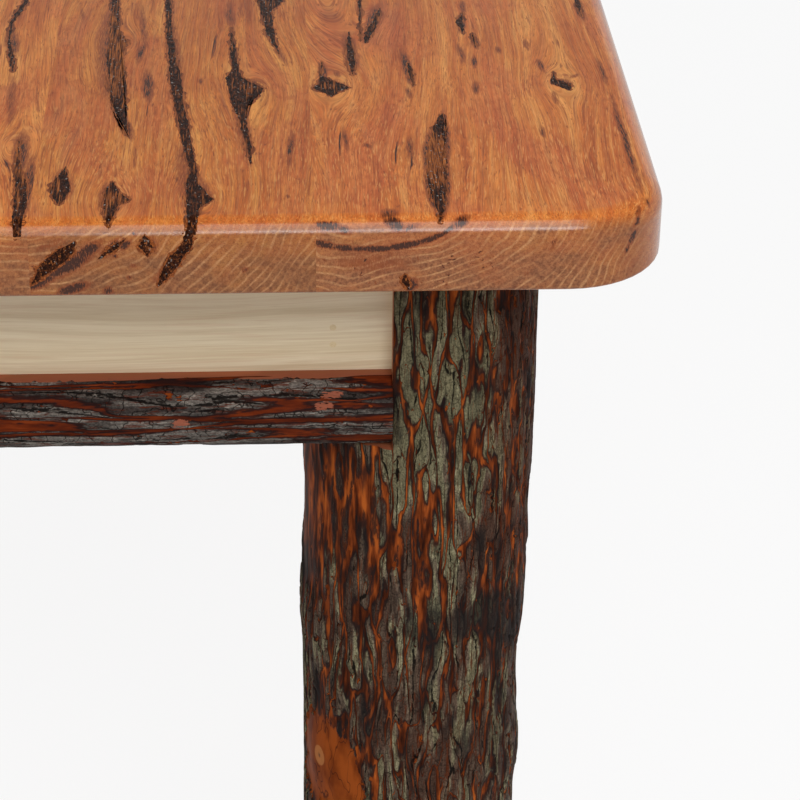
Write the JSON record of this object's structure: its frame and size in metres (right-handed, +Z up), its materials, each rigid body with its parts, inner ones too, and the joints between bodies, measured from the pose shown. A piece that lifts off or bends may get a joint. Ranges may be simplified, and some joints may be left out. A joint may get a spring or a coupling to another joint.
{
  "type": "rustic table",
  "caption": "Rustic dining table: thick plank top with dark resin-filled cracks on bark-on log legs, with flat apron boards and half-round bark rails.",
  "frame": {"origin": "on the floor, under the middle of the top", "axes": "+Z up, X across the table, Y along its length and its boards"},
  "size_m": [1.067, 1.829, 0.762],
  "materials": {
    "top_wood": "clear gloss lacquer over orange-brown wood",
    "plywood": "raw plywood",
    "resin": "black resin under clear gloss lacquer",
    "bark_log": "hickory bark under satin lacquer",
    "bark_rail": "hickory bark under satin lacquer",
    "apron_wood": "pale planed wood under satin lacquer",
    "brace_wood": "planed pale wood, unfinished",
    "zinc_steel": "zinc plated",
    "bright_steel": "bright steel",
    "clip_steel": "bent strip steel",
    "filler": "tinted wood filler",
    "glide": "brown nylon"
  },
  "bodies": {
    "root": {"apron_board_back": "apron_wood", "apron_board_front": "apron_wood", "apron_board_left": "apron_wood", "apron_board_right": "apron_wood", "apron_brad_plugs": "filler", "apron_brads": "bright_steel", "bark_rail_back": "bark_rail", "bark_rail_front": "bark_rail", "bark_rail_left": "bark_rail", "bark_rail_right": "bark_rail", "bark_rail_screws": "zinc_steel", "corner_brace_back_left": "brace_wood", "corner_brace_back_right": "brace_wood", "corner_brace_front_left": "brace_wood", "corner_brace_front_right": "brace_wood", "corner_brace_screws": "zinc_steel", "foot_glides": "glide", "hanger_bolt_nuts": "zinc_steel", "hanger_bolt_washers": "zinc_steel", "hanger_bolts": "zinc_steel", "leg_back_left": "bark_log", "leg_back_right": "bark_log", "leg_front_left": "bark_log", "leg_front_right": "bark_log", "resin_fill_1": "resin", "resin_fill_2": "resin", "resin_fill_3": "resin", "resin_fill_4": "resin", "resin_fill_5": "resin", "resin_fill_6": "resin", "resin_fill_7": "resin", "tabletop_board_1": "top_wood", "tabletop_board_2": "top_wood", "tabletop_board_3": "top_wood", "tabletop_board_4": "top_wood", "tabletop_board_5": "top_wood", "tabletop_board_6": "top_wood", "tabletop_board_7": "top_wood", "tabletop_clip_screws": "zinc_steel", "tabletop_clips": "clip_steel", "tabletop_spline_1": "plywood", "tabletop_spline_2": "plywood", "tabletop_spline_3": "plywood", "tabletop_spline_4": "plywood", "tabletop_spline_5": "plywood", "tabletop_spline_6": "plywood", "underside_batten_back": "brace_wood", "underside_batten_front": "brace_wood", "underside_batten_screws": "zinc_steel"}
  },
  "joints": []
}
